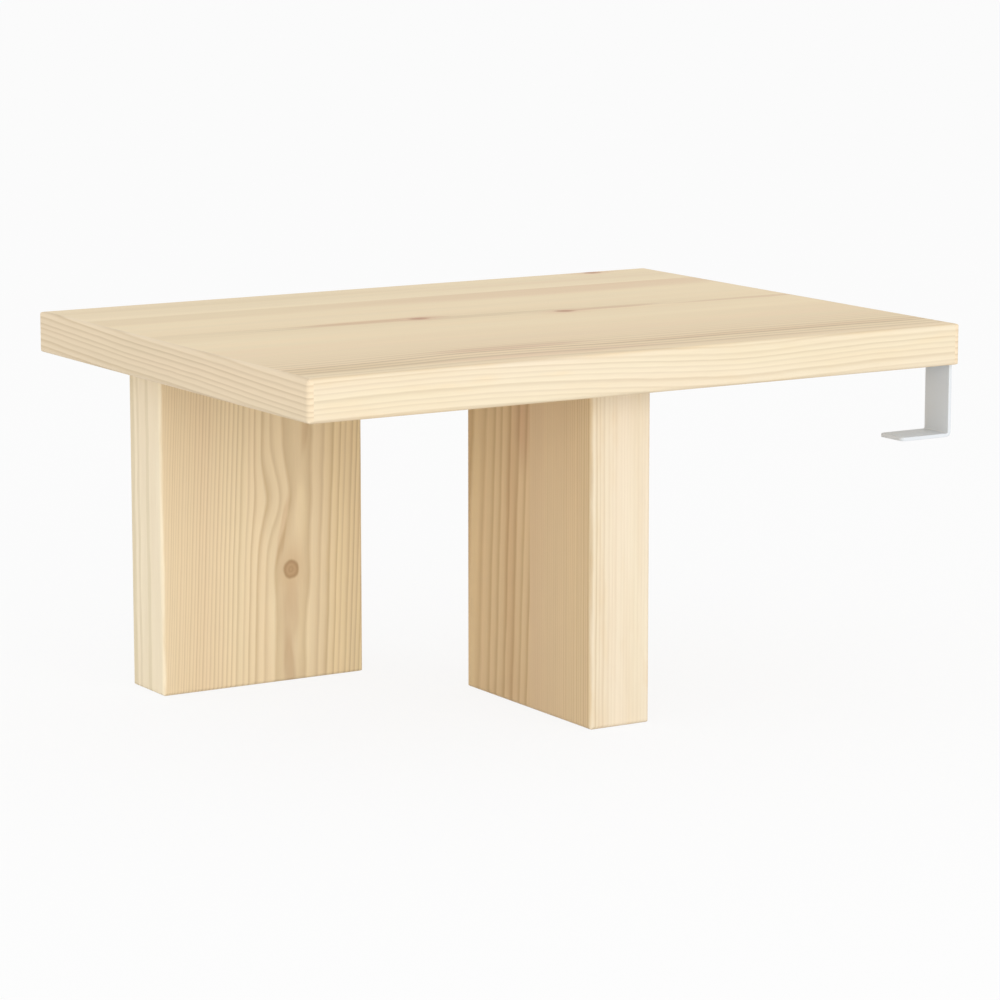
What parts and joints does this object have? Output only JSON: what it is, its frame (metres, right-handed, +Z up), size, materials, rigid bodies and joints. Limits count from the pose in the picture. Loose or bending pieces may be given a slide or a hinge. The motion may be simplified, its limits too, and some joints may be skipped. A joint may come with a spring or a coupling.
{
  "type": "nightstand",
  "caption": "Low pine nightstand on panel legs set at right angles, with steel hooks under one end that go round a bed's side rail.",
  "frame": {"origin": "at floor level, under the middle of the tabletop's outline", "axes": "+X along the tabletop towards the end with the hooks, -Y towards the front, +Z up"},
  "size_m": [0.5, 0.383, 0.258],
  "materials": {
    "pine_top": "sanded solid pine with a clear matt lacquer",
    "pine_legs": "sanded solid pine with a clear matt lacquer",
    "beech_dowel": "fluted, unfinished",
    "coated_steel": "light grey powder coat on bent steel strip",
    "zinc_fitting": "zinc plated"
  },
  "bodies": {
    "root": {"top_stave_rear": "pine_top", "top_stave_middle": "pine_top", "top_stave_front": "pine_top", "end_lipping_left": "pine_top", "end_lipping_right": "pine_top", "left_leg_board": "pine_legs", "right_leg_stave_rear": "pine_legs", "right_leg_stave_front": "pine_legs", "left_leg_dowels": "beech_dowel", "right_leg_dowels": "beech_dowel", "left_leg_connecting_bolts": "zinc_fitting", "right_leg_connecting_bolts": "zinc_fitting", "left_leg_cam_locks": "zinc_fitting", "right_leg_cam_locks": "zinc_fitting", "hook_front": "coated_steel", "hook_rear": "coated_steel", "hook_front_screws": "zinc_fitting", "hook_rear_screws": "zinc_fitting"}
  },
  "joints": []
}
